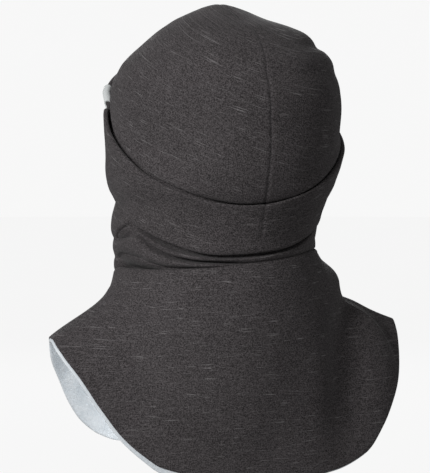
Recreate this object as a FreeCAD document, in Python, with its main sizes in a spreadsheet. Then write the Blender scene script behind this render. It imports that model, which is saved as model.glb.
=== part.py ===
import FreeCAD, Part
import math
import os

import Sketcher
from FreeCAD import Placement, Rotation, Vector

# A balaclava of two-layer fabric: a peaked cap of two halves, a turned-up cuff round it, a neck tube with
# the face opening, and a bib with a front and a back lobe.
# The frame is the wearer's: origin at the centre of the head where it is widest, +Z up, face towards -Y,
# the wearer's left towards +X. Each piece is cut cloth, so each is a thin shell in the place it is worn.

doc = FreeCAD.newDocument("balaclava")

# ---------------------------------------------------------------- driving dimensions

SIZES = [
    # alias, value in millimetres or degrees, what it is
    ("head_width", 167, "outside of the cap, side to side, where the head is widest"),
    ("head_length", 196, "outside of the cap, front to back, at the same level"),
    ("cap_rise", 100, "from the widest level up to the tip of the cap"),
    ("cap_fullness", 3.1, "exponent of the dome: higher is squarer"),
    ("cap_taper", 0.8, "exponent of the dome: higher is more pointed"),
    ("neck_width", 150, "outside of the neck tube, side to side"),
    ("neck_length", 168, "outside of the neck tube, front to back"),
    ("neck_forward", 7, "how far the neck's centre lies in front of the head's"),
    ("neck_level", 78, "how far below the widest level the neck begins"),
    ("shell_thick", 1.2, "heather knit outer layer"),
    ("lining_thick", 2.4, "brushed fleece inner layer"),
    ("thread_proud", 0.5, "how far stitches and the binding stand out of the knit"),
    ("cuff_gap", 1.6, "between the cap and the back of the cuff"),
    ("cuff_proud", 5, "from the cap's surface to the cuff's"),
    ("cuff_root", 6, "height of the strip where the cuff is sewn to the cap"),
    ("seam_level", 54.5, "cap seam, on the head's axis, below the widest level"),
    ("seam_tilt", 18.4, "degrees that the cap seam drops towards the back"),
    ("edge_level", 3.5, "cuff's upper edge, on the head's axis, above the widest level"),
    ("edge_tilt", 28, "degrees that the cuff's upper edge drops towards the back"),
    ("face_width", 132, "cut edge of the face opening, side to side"),
    ("face_height", 90, "cut edge of the face opening, top to bottom"),
    ("face_level", 72, "centre of the face opening, below the widest level"),
    ("binding_width", 4, "elastic binding round the face opening"),
    ("neckline_level", 91, "neck seam at the back and sides, below the widest level"),
    ("neckline_radius", 119.5, "arc by which the neck seam falls away in front"),
    ("neckline_reach", 112, "how far forward that arc runs"),
    ("stitch_width", 3.2, "width of a row of seam stitches"),
    ("bib_width", 272, "hem to hem over the shoulders"),
    ("shoulder_level", 148, "hem over the shoulders, below the widest level"),
    ("back_lobe", 99, "drop of the back lobe's hem below the shoulders"),
    ("front_lobe", 90, "drop of the front lobe's hem below the shoulders"),
    ("hem_depth", 66, "how far behind and in front of the head's axis the lobes' hems hang"),
    ("hem_squareness", 2.6, "exponent of the hem's outline from above"),
    ("label_width", 14, "tape label folded over the cuff's upper edge"),
    ("label_thick", 0.8, "its thickness, each side of the cuff"),
    ("label_drop", 18, "how far it reaches down each side of the cuff"),
    ("label_angle", 132, "degrees round from the back towards the wearer's left"),
    ("care_width", 30, "care label inside the back of the neck"),
    ("care_height", 26, "its height"),
    ("care_thick", 0.5, "its thickness"),
]

sheet = doc.addObject("Spreadsheet::Sheet", "Sizes")
for row, (alias, value, meaning) in enumerate(SIZES, start=1):
    sheet.set(f"A{row}", alias)
    sheet.set(f"B{row}", str(value))
    sheet.set(f"C{row}", meaning)
    sheet.setAlias(f"B{row}", alias)
doc.recompute()


def size(alias):
    """A driving dimension, for the pieces whose shapes are worked out in this script."""
    return float(sheet.get(alias))


FAR = 200  # half the side of a block that is larger than the whole object
LONG_AXIS_ALONG_Y = Rotation(Vector(0, 0, 1), 90)
SIDE_VIEW = Rotation(Vector(1, 1, 1), 120)  # a sketch's x and y become Y and Z
FRONT_VIEW = Rotation(Vector(1, 0, 0), 90)  # a sketch's x and y become X and Z


# ---------------------------------------------------------------- the worn form and its layers


def ring(name, height, shift, half_length, half_width):
    """One level of the worn form: a level ellipse, long from front to back."""
    ellipse = doc.addObject("Part::Ellipse", name)
    ellipse.Placement = Placement(Vector(0, 0, 0), LONG_AXIS_ALONG_Y)
    ellipse.setExpression("Placement.Base.z", height)
    ellipse.setExpression("Placement.Base.y", shift)
    ellipse.setExpression("MajorRadius", half_length)
    ellipse.setExpression("MinorRadius", half_width)
    return ellipse


DOME_LEVELS = [0, 0.3, 0.5, 0.66, 0.8, 0.9, 0.965, 0.993]  # shares of the rise
NECK_LEVELS = [0, 10, 24, 42, 66, 90]  # millimetres below the level where the neck begins
FOREHEAD_SHARE = 0.32  # how far the ring below the widest level is on its way to the neck's level
NAPE_SHARE = 0.64


def worn_form(label, offset):
    """The solid inside a surface that lies offset outside the cap and the neck tube."""
    head = f"(Sizes.head_length / 2 + {offset})", f"(Sizes.head_width / 2 + {offset})"
    neck = f"(Sizes.neck_length / 2 + {offset})", f"(Sizes.neck_width / 2 + {offset})"
    rings = [
        ring(label + "_neck", f"-Sizes.neck_level - {drop}", "-Sizes.neck_forward", *neck)
        for drop in reversed(NECK_LEVELS)
    ]
    for share, narrowing in ((NAPE_SHARE, 0.5), (FOREHEAD_SHARE, 0.1)):
        rings.append(
            ring(
                label + "_nape",
                f"-Sizes.neck_level * {share}",
                f"-Sizes.neck_forward * {narrowing}",
                f"{head[0]} * {1 - narrowing} + {neck[0]} * {narrowing}",
                f"{head[1]} * {1 - narrowing} + {neck[1]} * {narrowing}",
            )
        )
    for share in DOME_LEVELS:
        narrow = f"pow(1 - pow({share}; Sizes.cap_fullness); Sizes.cap_taper)"
        rings.append(
            ring(
                label + "_dome",
                f"(Sizes.cap_rise + {offset}) * {share}",
                "0",
                f"{head[0]} * {narrow}",
                f"{head[1]} * {narrow}",
            )
        )
    form = doc.addObject("Part::Loft", label)
    form.Sections = rings
    form.Solid = True
    return form


knit_face = worn_form("knit_face", "0")
knit_back = worn_form("knit_back", "(-Sizes.shell_thick)")
fleece_back = worn_form("fleece_back", "(-Sizes.shell_thick - Sizes.lining_thick)")
stitch_face = worn_form("stitch_face", "Sizes.thread_proud")
cuff_back = worn_form("cuff_back", "Sizes.cuff_gap")
cuff_face = worn_form("cuff_face", "Sizes.cuff_proud")
label_back = worn_form("label_back", "(Sizes.cuff_gap - Sizes.label_thick)")
label_face = worn_form("label_face", "(Sizes.cuff_proud + Sizes.label_thick)")
care_face = worn_form("care_face", "(-Sizes.shell_thick - Sizes.lining_thick - Sizes.care_thick)")


def cut(label, base, tool):
    piece = doc.addObject("Part::Cut", label)
    piece.Base = base
    piece.Tool = tool
    return piece


def common(label, *shapes):
    piece = doc.addObject("Part::MultiCommon", label)
    piece.Shapes = list(shapes)
    return piece


shell_layer = cut("shell_layer", knit_face, knit_back)
lining_layer = cut("lining_layer", knit_back, fleece_back)
cuff_layer = cut("cuff_layer", cuff_face, cuff_back)
cuff_root_layer = cut("cuff_root_layer", cuff_face, knit_face)
stitch_layer = cut("stitch_layer", stitch_face, knit_face)
binding_layer = cut("binding_layer", stitch_face, fleece_back)
label_layer = cut("label_layer", label_face, label_back)
care_layer = cut("care_layer", fleece_back, care_face)


# ---------------------------------------------------------------- the lines the cloth is cut along


def block(label, corner, sides):
    box = doc.addObject("Part::Box", label)
    box.Length, box.Width, box.Height = sides
    box.Placement = Placement(Vector(*corner), Rotation())
    return box


def above_plane(label, level, tilt):
    """Everything above a plane that crosses the axis at level and drops towards the back by tilt degrees."""
    box = block(label, (-FAR, -FAR, 0), (2 * FAR, 2 * FAR, 2 * FAR))
    box.Placement = Placement(Vector(-FAR, 0, 0), Rotation(Vector(1, 0, 0), 0))
    box.setExpression("Placement.Rotation.Angle", f"-{tilt} * 1 deg")
    box.setExpression("Placement.Rotation.Axis.x", "1")
    box.setExpression("Placement.Base.y", f"-{FAR} * cos({tilt} * 1 deg)")
    box.setExpression("Placement.Base.z", f"{level} + {FAR} * sin({tilt} * 1 deg)")
    return box


above_seam = above_plane("above_seam", "-Sizes.seam_level", "Sizes.seam_tilt")
above_root = above_plane("above_root", "-Sizes.seam_level + Sizes.cuff_root", "Sizes.seam_tilt")
above_cap_stitches = above_plane(
    "above_cap_stitches", "-Sizes.seam_level - Sizes.stitch_width", "Sizes.seam_tilt"
)
above_edge = above_plane("above_edge", "Sizes.edge_level", "Sizes.edge_tilt")
cuff_space = cut("cuff_space", above_seam, above_edge)
root_space = cut("root_space", above_seam, above_root)
cap_stitch_space = cut("cap_stitch_space", above_cap_stitches, above_seam)

left_half = block("left_half", (0, -FAR, -FAR), (FAR, 2 * FAR, 2 * FAR))
right_half = block("right_half", (-FAR, -FAR, -FAR), (FAR, 2 * FAR, 2 * FAR))
centre_strip = block("centre_strip", (0, -FAR, -FAR), (1, 2 * FAR, 2 * FAR))
centre_strip.setExpression("Length", "Sizes.stitch_width")
centre_strip.setExpression("Placement.Base.x", "-Sizes.stitch_width / 2")


def neckline_sketch():
    """The neck seam from the side: level from the back to the axis, then an arc that falls away in front."""
    sketch = doc.addObject("Sketcher::SketchObject", "neckline_sketch")
    sketch.Placement = Placement(Vector(0, 0, 0), SIDE_VIEW)
    level, radius = -size("neckline_level"), size("neckline_radius")
    reach = size("neckline_reach")
    centre = Vector(0, level - radius, 0)
    start = math.pi / 2
    end = start + math.asin(reach / radius)
    foot = Vector(-reach, centre.y + radius * math.sin(end), 0)
    circle = Part.Circle(centre, Vector(0, 0, 1), radius)
    corners = [Vector(-FAR, foot.y, 0), Vector(-FAR, FAR, 0), Vector(FAR, FAR, 0), Vector(FAR, level, 0)]
    arc = sketch.addGeometry(Part.ArcOfCircle(circle, start, end), False)
    points = [foot, *corners, Vector(0, level, 0)]
    lines = [
        sketch.addGeometry(Part.LineSegment(a, b), False) for a, b in zip(points, points[1:])
    ]
    constrain = sketch.addConstraint
    constrain(Sketcher.Constraint("Coincident", arc, 2, lines[0], 1))
    for before, after in zip(lines, lines[1:]):
        constrain(Sketcher.Constraint("Coincident", before, 2, after, 1))
    constrain(Sketcher.Constraint("Tangent", lines[-1], 2, arc, 1))
    for line, way in zip(lines, ("Horizontal", "Vertical", "Horizontal", "Vertical", "Horizontal")):
        constrain(Sketcher.Constraint(way, line))
    constrain(Sketcher.Constraint("PointOnObject", arc, 1, -2))
    named = [
        ("level", Sketcher.Constraint("DistanceY", arc, 1, -1, 1, -level), "Sizes.neckline_level"),
        ("radius", Sketcher.Constraint("Radius", arc, radius), "Sizes.neckline_radius"),
        ("reach", Sketcher.Constraint("DistanceX", arc, 2, -1, 1, reach), "Sizes.neckline_reach"),
    ]
    for name, constraint, expression in named:
        index = constrain(constraint)
        sketch.renameConstraint(index, name)
        sketch.setExpression("Constraints." + name, expression)
    for line, kind in ((lines[1], "DistanceX"), (lines[1], "DistanceY"), (lines[3], "DistanceX")):
        point = 2 if kind == "DistanceY" else 1
        place = {"DistanceX": lambda p: p.x, "DistanceY": lambda p: p.y}[kind]
        constrain(Sketcher.Constraint(kind, -1, 1, line, point, place(sketch.getPoint(line, point))))
    return sketch


def extrude(label, base, direction, reach, both_ways):
    solid = doc.addObject("Part::Extrusion", label)
    solid.Base = base
    solid.DirMode = "Custom"
    solid.Dir = direction
    solid.LengthFwd = reach
    solid.LengthRev = reach if both_ways else 0
    solid.Solid = True
    return solid


neckline = neckline_sketch()
above_neckline = extrude("above_neckline", neckline, Vector(1, 0, 0), FAR, True)
above_stitches = extrude("above_stitches", neckline, Vector(1, 0, 0), FAR, True)
above_stitches.setExpression("Placement.Base.z", "Sizes.stitch_width")
neck_space = cut("neck_space", above_neckline, above_seam)
neck_stitch_space = cut("neck_stitch_space", above_neckline, above_stitches)


def face_hole(label, inset):
    """The space through the face opening, inset from its cut edge."""
    outline = doc.addObject("Part::Ellipse", label + "_outline")
    outline.Placement = Placement(Vector(0, 0, 0), FRONT_VIEW)
    outline.setExpression("Placement.Base.z", "-Sizes.face_level")
    outline.setExpression("MajorRadius", f"Sizes.face_width / 2 - {inset}")
    outline.setExpression("MinorRadius", f"Sizes.face_height / 2 - {inset}")
    return extrude(label, outline, Vector(0, -1, 0), FAR, False)


cut_edge = face_hole("cut_edge", "0")
clear_hole = face_hole("clear_hole", "Sizes.binding_width")
binding_space = cut("binding_space", cut_edge, clear_hole)


# ---------------------------------------------------------------- cap, cuff and neck tube

pieces = {}


def keep(node, piece):
    """Names a finished piece. Its node is written to a file of the same name."""
    piece.Label = node
    pieces[node] = piece
    return piece


for side, half in (("left", left_half), ("right", right_half)):
    keep(f"crown_{side}", common(f"crown_{side}_cut", shell_layer, above_seam, half))
    keep(f"crown_lining_{side}", common(f"crown_lining_{side}_cut", lining_layer, above_seam, half))

    wall = common(f"cuff_wall_{side}", cuff_layer, cuff_space, half)
    root = common(f"cuff_root_{side}", cuff_root_layer, root_space, half)
    cuff = doc.addObject("Part::Fuse", f"cuff_{side}_fuse")
    cuff.Base = wall
    cuff.Tool = root
    keep(f"cuff_{side}", cuff)

    for node, layer in ((f"neck_{side}", shell_layer), (f"neck_lining_{side}", lining_layer)):
        tube = common(node + "_tube", layer, neck_space, half)
        keep(node, cut(node + "_cut", tube, cut_edge))

keep("face_binding", common("face_binding_cut", binding_layer, neck_space, binding_space))
keep("crown_seam_thread", common("crown_seam_cut", stitch_layer, above_root, centre_strip))
keep("cap_seam_thread", common("cap_seam_cut", stitch_layer, cap_stitch_space))
keep("neck_seam_thread", common("neck_seam_cut", stitch_layer, neck_stitch_space))


# ---------------------------------------------------------------- bib

# The bib is described in upright planes through the neck's centre. A plane's angle is 0 at the back, 90 at
# the wearer's left and 180 in front. In each plane the cloth runs on one smooth curve from the neck seam to
# the hem: outwards over the shoulders, nearly straight down behind and in front.

SHOULDER_ANGLE = 90
PROFILE_STEPS = 8
PANEL_STEPS = 14
BACK_START, FRONT_START, SIDE_START = 20, 12, 0  # degrees outwards from straight down, at the neck seam
BACK_END, FRONT_END, SIDE_END = -20, -14, 65  # the same at the hem


def neckline_height(y):
    """The neck seam's height where it is y behind the head's axis."""
    level, radius = -size("neckline_level"), size("neckline_radius")
    if y >= 0:
        return level
    return level - radius + math.sqrt(radius**2 - y**2)


def neck_radius(angle, offset=0.0):
    """From the neck's centre to a layer of the neck tube, offset outwards from the knit's face."""
    across = math.sin(angle) / (size("neck_width") / 2 + offset)
    along = math.cos(angle) / (size("neck_length") / 2 + offset)
    return 1 / math.hypot(across, along)


def hem_radius(angle):
    """From the neck's centre to the hem, seen from above, where the hem is a rounded rectangle."""
    half_width, depth = size("bib_width") / 2, size("hem_depth")
    power, centre = size("hem_squareness"), size("neck_forward")
    low, high = 0.0, half_width + depth
    for _ in range(40):
        radius = (low + high) / 2
        x = abs(radius * math.sin(angle)) / half_width
        y = abs(radius * math.cos(angle) - centre) / depth
        if x**power + y**power < 1:
            low = radius
        else:
            high = radius
    return low


def turn_out(across, down, share):
    """A direction in an upright plane, given as degrees outwards from straight down."""
    degrees = math.radians(across * share + down * (1 - share))
    return Vector(math.sin(degrees), -math.cos(degrees), 0)


def bib_profile(angle, offset):
    """Points from the neck seam to the hem in one upright plane, offset outwards from the knit's face."""
    back = math.cos(angle) > 0
    inner, outer = neck_radius(angle), hem_radius(angle)
    top = neckline_height(inner * math.cos(angle) - size("neck_forward"))
    lobe = size("back_lobe" if back else "front_lobe")
    share = min(1.0, abs(outer * math.sin(angle)) / (size("bib_width") / 2))
    bottom = -size("shoulder_level") - lobe * math.sqrt(max(0.0, 1 - share**2))
    side = math.sin(angle) ** 2
    reach = math.hypot(outer - inner, bottom - top)
    leave = turn_out(SIDE_START, BACK_START if back else FRONT_START, side) * reach
    arrive = turn_out(SIDE_END, BACK_END if back else FRONT_END, side) * reach
    first, last = Vector(inner, top, 0), Vector(outer, bottom, 0)

    layer = neck_radius(angle, offset)
    points = [Vector(layer, neckline_height(layer * math.cos(angle) - size("neck_forward")), 0)]
    for step in range(1, PROFILE_STEPS + 1):
        t = step / PROFILE_STEPS
        place = (
            first * (2 * t**3 - 3 * t**2 + 1)
            + leave * (t**3 - 2 * t**2 + t)
            + last * (3 * t**2 - 2 * t**3)
            + arrive * (t**3 - t**2)
        )
        way = (
            first * (6 * t**2 - 6 * t)
            + leave * (3 * t**2 - 4 * t + 1)
            + last * (6 * t - 6 * t**2)
            + arrive * (3 * t**2 - 2 * t)
        ).normalize()
        points.append(place + Vector(-way.y, way.x, 0) * offset)
    upright = Rotation(Vector(0, 0, 1), 90 - math.degrees(angle)).multiply(FRONT_VIEW)
    centre = Vector(0, -size("neck_forward"), 0)
    return [centre + upright.multVec(point) for point in points]


def cloth_section(angle, face, back):
    """The cut through one layer of cloth in one upright plane, from its face to its back."""
    outside, inside = bib_profile(angle, face), bib_profile(angle, back)
    face_curve, back_curve = Part.BSplineCurve(), Part.BSplineCurve()
    face_curve.interpolate(outside)
    back_curve.interpolate(inside[::-1])
    return Part.Wire(
        [
            face_curve.toShape(),
            Part.makeLine(outside[-1], inside[-1]),
            back_curve.toShape(),
            Part.makeLine(inside[0], outside[0]),
        ]
    )


def cloth_panel(start, end, steps, face, back):
    """One layer of cloth between two planes."""
    sections = []
    for step in range(steps + 1):
        angle = math.radians(start + (end - start) * step / steps)
        sections.append(cloth_section(angle, face, back))
    return Part.makeLoft(sections, True, False)


def cloth(node, shape):
    piece = doc.addObject("Part::Feature", node + "_cloth")
    piece.Shape = shape
    piece.Placement = Placement()
    return keep(node, piece)


shell, fleece = size("shell_thick"), size("lining_thick")
for lobe, first_angle in (("back", -SHOULDER_ANGLE), ("front", SHOULDER_ANGLE)):
    last_angle = first_angle + 180
    cloth(f"bib_{lobe}", cloth_panel(first_angle, last_angle, PANEL_STEPS, 0, -shell))
    cloth(
        f"bib_{lobe}_lining",
        cloth_panel(first_angle, last_angle, PANEL_STEPS, -shell, -shell - fleece),
    )

half_stitch = math.degrees(size("stitch_width") / size("bib_width"))
stitches = [
    cloth_panel(middle - half_stitch, middle + half_stitch, 2, size("thread_proud"), 0)
    for middle in (SHOULDER_ANGLE, -SHOULDER_ANGLE)
]
cloth("shoulder_seam_thread", Part.makeCompound(stitches))


# ---------------------------------------------------------------- labels

# The cuff's label is a tape folded over the cuff's upper edge: all that lies within a tape's thickness of
# the cuff, in a block square to that edge.
label_block = block("label_block", (0, 0, 0), (FAR, 1, 1))
label_block.setExpression("Width", "Sizes.label_width")
label_block.setExpression("Height", "Sizes.label_drop + Sizes.label_thick")
tilt = Rotation(Vector(1, 0, 0), -size("edge_tilt"))
turn = Rotation(Vector(0, 0, 1), 90 - size("label_angle"))
label_way = tilt.multiply(turn)
label_corner = label_way.multVec(Vector(0, -size("label_width") / 2, -size("label_drop")))
label_block.Placement = Placement(Vector(0, 0, size("edge_level")) + label_corner, label_way)
label_sleeve = common("label_sleeve", label_layer, label_block)
keep("cuff_label", cut("cuff_label_cut", label_sleeve, pieces["cuff_left"]))

# The care label is sewn into the neck seam at the back, and lies flat against the fleece above it.
care_block = block("care_block", (0, 0, 0), (1, FAR, 1))
care_block.setExpression("Length", "Sizes.care_width")
care_block.setExpression("Height", "Sizes.care_height")
care_block.setExpression("Placement.Base.x", "-Sizes.care_width / 2")
care_block.setExpression("Placement.Base.z", "-Sizes.neckline_level")
keep("care_label", common("care_label_cut", care_layer, care_block))


# ---------------------------------------------------------------- check and write

doc.recompute()

for item in doc.Objects:
    if {"Invalid", "Error"} & set(item.State):
        raise RuntimeError(f"{item.Name} ({item.Label}) is {item.State}")

os.makedirs("parts", exist_ok=True)
for node, piece in pieces.items():
    shape = piece.Shape
    if shape.isNull() or not shape.isValid() or not shape.Solids or shape.Volume <= 0:
        raise RuntimeError(f"{node} has no sound solid")
    shape.exportStep(f"parts/{node}.step")
    box = shape.optimalBoundingBox(False)
    print(
        f"{node}: {len(shape.Solids)} solid(s), {shape.Volume / 1000:.1f} cm3,"
        f" x {box.XMin:.1f} to {box.XMax:.1f}, y {box.YMin:.1f} to {box.YMax:.1f},"
        f" z {box.ZMin:.1f} to {box.ZMax:.1f}"
    )
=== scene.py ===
import math

import bmesh
import bpy
import numpy as np
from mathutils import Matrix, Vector


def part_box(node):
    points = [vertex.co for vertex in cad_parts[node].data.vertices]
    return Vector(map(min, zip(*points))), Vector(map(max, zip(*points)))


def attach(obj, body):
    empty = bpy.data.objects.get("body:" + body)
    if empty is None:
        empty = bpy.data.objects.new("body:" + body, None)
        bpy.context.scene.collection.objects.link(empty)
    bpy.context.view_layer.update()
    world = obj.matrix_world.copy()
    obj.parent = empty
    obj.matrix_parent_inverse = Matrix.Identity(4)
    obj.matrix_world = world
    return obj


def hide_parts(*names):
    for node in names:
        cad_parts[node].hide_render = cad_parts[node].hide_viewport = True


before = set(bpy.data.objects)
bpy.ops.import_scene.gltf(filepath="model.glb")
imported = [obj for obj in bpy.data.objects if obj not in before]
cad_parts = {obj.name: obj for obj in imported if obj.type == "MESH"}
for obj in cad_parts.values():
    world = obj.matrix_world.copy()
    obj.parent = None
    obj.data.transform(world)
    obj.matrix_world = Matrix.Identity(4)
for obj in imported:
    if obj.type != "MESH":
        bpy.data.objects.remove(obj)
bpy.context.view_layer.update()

# The looks of a fleece-lined balaclava, built round its CAD frame.
# Shapes are worked out in millimetres in the row's frame and turned into metres as each mesh is made.
# Most pieces are grids over two measures: turn, in degrees round the head from the centre back towards the
# wearer's left, and a share of the way down the piece.

MM = 0.001

# ---------------- sizes, from the frame


def edges(node):
    """A CAD node's lowest and highest corner, in millimetres."""
    low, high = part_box(node)
    return np.array(low) / MM, np.array(high) / MM


KNIT = 1.2  # thickness of the outer layer
FLEECE = 2.4  # thickness of the lining
LAYER_GAP = 0.05  # between the two, so that their faces don't flicker
THREAD_PROUD = 0.5  # how far the CAD's stitches stand out of the knit

_, crown_high = edges("crown_left")
_, seam_high = edges("crown_seam_thread")
tube_low, tube_high = edges("neck_seam_thread")
bib_low, bib_high = edges("bib_back")

HEAD_WIDE, HEAD_LONG = crown_high[0], crown_high[1]
RISE = seam_high[2]
NECK_WIDE = tube_high[0] - THREAD_PROUD
NECK_LONG = (tube_high[1] - tube_low[1]) / 2 - THREAD_PROUD
NECK_Y = (tube_high[1] + tube_low[1]) / 2
NECKLINE = tube_high[2]  # top of the neck seam's stitches, at the back
SPAN = bib_high[0]
BACK_HEM = bib_low[2]

# ---------------- curves


def keyed(place, keys, period=None):
    """A smooth curve through given (place, value) keys, which never overshoots them."""
    places, values = (np.array(column, float) for column in zip(*keys))
    place = np.asarray(place, float)
    if period:
        place = (place - places[0]) % period + places[0]
        places = np.concatenate([places[-2:] - period, places, places[:2] + period])
        values = np.concatenate([values[-2:], values, values[:2]])
    widths = np.diff(places)
    steps = np.diff(values) / widths
    before, after = steps[:-1], steps[1:]
    slopes = np.zeros(len(values))
    same_way = before * after > 0
    slopes[1:-1][same_way] = 2 * (before * after)[same_way] / (before + after)[same_way]
    index = np.clip(np.searchsorted(places, place, side="right") - 1, 0, len(widths) - 1)
    t = np.clip((place - places[index]) / widths[index], 0, 1)
    return (
        values[index] * (2 * t**3 - 3 * t**2 + 1)
        + slopes[index] * widths[index] * (t**3 - 2 * t**2 + t)
        + values[index + 1] * (3 * t**2 - 2 * t**3)
        + slopes[index + 1] * widths[index] * (t**3 - t**2)
    )


def around(turn, keys):
    """A smooth closed curve round the head, through (turn, value) keys."""
    return keyed(turn, keys, period=360)


def apart(turn, other):
    """Degrees from other to turn, the short way round."""
    return (np.asarray(turn) - other + 180) % 360 - 180


def near(turn, at, spread):
    """1 at one turn, falling softly to 0 on both sides of it."""
    return np.exp(-((apart(turn, at) / spread) ** 2))


def add_bumps(turn, place, bumps):
    """Sum of soft bumps, each (turn, place, spread in turn, spread in place, height)."""
    total = np.zeros_like(place)
    for at, middle, wide, tall, size in bumps:
        total += size * np.exp(-((apart(turn, at) / wide) ** 2) - ((place - middle) / tall) ** 2)
    return total


def wobble(points, size, seed):
    """Smooth, repeatable unevenness from about -1 to 1, with lumps of about the given size."""
    random = np.random.default_rng(seed)
    waves = 9
    total = 0
    for _ in range(waves):
        way = random.normal(size=3)
        way *= 2 * math.pi / (size * random.uniform(1.4, 2.6) * np.linalg.norm(way))
        total = total + np.sin(points @ way + random.uniform(0, 2 * math.pi))
    return total / (waves / 2)


# ---------------- the worn form

# The dome's share of the head's width, by height in percent of the rise from the origin to the tip
DOME = [(0, 1), (28, 1.01), (36, 1.003), (42, 0.984), (48, 0.95), (55, 0.917), (62, 0.856), (68.5, 0.78),
        (75, 0.69), (82, 0.56), (89, 0.383), (95.6, 0.205), (98.6, 0.105), (99.7, 0.04), (100, 0)]
# Below the dome, by height in millimetres: how far the form has gone from head to neck, in size and in place
NARROWING = [(-55, 1), (-46, 0.85), (-33, 0.35), (-20, 0.1), (0, 0)]
NECK_SHIFT = [(-75, 1), (-60, 0.6), (-48, 0.18), (-33, 0.03), (-20, 0)]
NECK_X = 3.0  # the neck leans towards the wearer's left
# How far the cap sags to the right rear, by height
SLUMP = [(-30, 0), (0, 2.2), (28, 2.7), (45, 2.9), (62, 4.4), (75, 5.3), (82, 4.6), (89, 0.2), (95, -1.2),
         (100, -1.9)]
SLUMP_WAY = np.array([-0.94, 0.34])
CUFF_SLUMP = 2.2  # the cuff sags no further than this
SEAM_LEVEL = -30.0  # near the height of the tilted seams


def form_level(z, straight=False):
    """Half width, half length and centre of the worn form at each height. A straight form has no dome."""
    dome = keyed(z / RISE * 100, DOME)
    nape = keyed(z, NARROWING)
    shift = keyed(z, NECK_SHIFT)
    slump = keyed(z, SLUMP)
    if straight:
        dome = np.ones_like(dome)
        slump = np.minimum(slump, CUFF_SLUMP)
    wide = np.where(z > 0, HEAD_WIDE * dome, HEAD_WIDE + (NECK_WIDE - HEAD_WIDE) * nape)
    long = np.where(z > 0, HEAD_LONG * dome, HEAD_LONG + (NECK_LONG - HEAD_LONG) * nape)
    return wide, long, NECK_X * shift + SLUMP_WAY[0] * slump, NECK_Y * shift + SLUMP_WAY[1] * slump


def on_form(turn, z, out=0.0, straight=False):
    """Points on the worn form, moved out level from it."""
    turn, z, out = np.broadcast_arrays(np.asarray(turn, float), z, out)
    wide, long, x, y = form_level(z, straight)
    angle = np.radians(turn)
    return np.stack([x + (wide + out) * np.sin(angle), y + (long + out) * np.cos(angle), z], axis=-1)


def tilted(turn, level, slope_y, slope_x):
    """The height, by turn, at which a plane tilted along both level axes meets the form."""
    wide, long, x, y = form_level(np.array(SEAM_LEVEL))
    angle = np.radians(turn)
    return level + slope_y * (y + long * np.cos(angle)) + slope_x * (x + wide * np.sin(angle))


def cap_seam(turn):
    """Where cap, cuff and neck tube are sewn together, which is the cuff's lower edge."""
    droop = 5.0 * near(turn, 113, 24) + 1.8 * near(turn, 27, 16)
    return tilted(turn, -48.2, -0.35, -0.05) - droop


def cuff_edge(turn):
    """The cuff's upper edge: it rises over the forehead, and sags a little behind the label."""
    share = np.clip((-np.cos(np.radians(turn)) - 0.60) / 0.34, 0, 1)
    brow = 9.0 * share**2 * (3 - 2 * share)
    dip = 6.0 * near(turn, 123.5, 5.5) - 1.5 * near(turn, 110, 9)
    return tilted(turn, 6.0, -0.55, -0.09) + brow - dip


def neckline(turn):
    """Where the neck tube meets the bib: level behind, falling away in front of the chin."""
    front = np.clip(-np.cos(np.radians(turn)), 0, 1)
    right = 2.0 * near(turn, -82, 34)
    return NECKLINE - 2.5 - 45.0 * front**1.9 - 7.5 * np.sin(np.radians(turn)) - right


# ---------------- grids

HALF = 192  # columns in half a turn


def ring_turns(columns=HALF):
    """Turns from -180 to 180, closer together at the centre seams."""
    even = np.linspace(-math.pi, math.pi, 2 * columns + 1)
    return np.degrees(even - 0.22 * np.sin(2 * even))


def normals(points, closed=True):
    """Unit normals of a grid, pointing away from the head's axis."""
    down = np.gradient(points, axis=0)
    if closed:
        wrapped = np.concatenate([points[:, -2:-1], points, points[:, 1:2]], axis=1)
        along = (wrapped[:, 2:] - wrapped[:, :-2]) / 2
    else:
        along = np.gradient(points, axis=1)
    across = np.cross(down, along)
    length = np.linalg.norm(across, axis=-1, keepdims=True)
    across = across / np.maximum(length, 1e-9)
    middle = points.reshape(-1, 3).mean(0)
    if ((points - middle) * across).sum() < 0:
        across = -across
    thin = length[..., 0] < 1e-6
    across[thin] = (0, 0, 1)
    return across


def lengths(points, axis):
    """Distance along a grid's lines, from their first point."""
    steps = np.linalg.norm(np.diff(points, axis=axis), axis=-1)
    zero = np.zeros_like(np.take(steps, [0], axis=axis))
    return np.concatenate([zero, np.cumsum(steps, axis=axis)], axis=axis)


def unit(vectors):
    """Vectors of length 1 in the same directions."""
    return vectors / np.maximum(np.linalg.norm(vectors, axis=-1, keepdims=True), 1e-9)


def grain_of(turn, radius, down):
    """A grid's grain: the way round by turn, and the way down."""
    return np.stack([np.radians(turn) * radius + 0 * down, down], axis=-1)


def round_off(outer, inner, grain):
    """Adds rows past the last row of a layer, where its two faces meet in a round edge."""
    middle = (outer[-1] + inner[-1]) / 2
    half = (outer[-1] - inner[-1]) / 2
    way = unit(outer[-1] + inner[-1] - outer[-3] - inner[-3])
    bulge = way * np.linalg.norm(half, axis=-1, keepdims=True)
    rows = [[], []]
    for degrees in (30, 60, 90):
        a = math.radians(degrees)
        rows[0].append(middle + half * math.cos(a) + bulge * math.sin(a))
        rows[1].append(middle - half * math.cos(a) + bulge * math.sin(a))
    outer = np.concatenate([outer, rows[0]])
    inner = np.concatenate([inner, rows[1]])
    return outer, inner, np.concatenate([grain] + [grain[-1:]] * 3)


SHARP_ANGLE = math.radians(62)  # edges that bend more than this are shaded sharp


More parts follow.
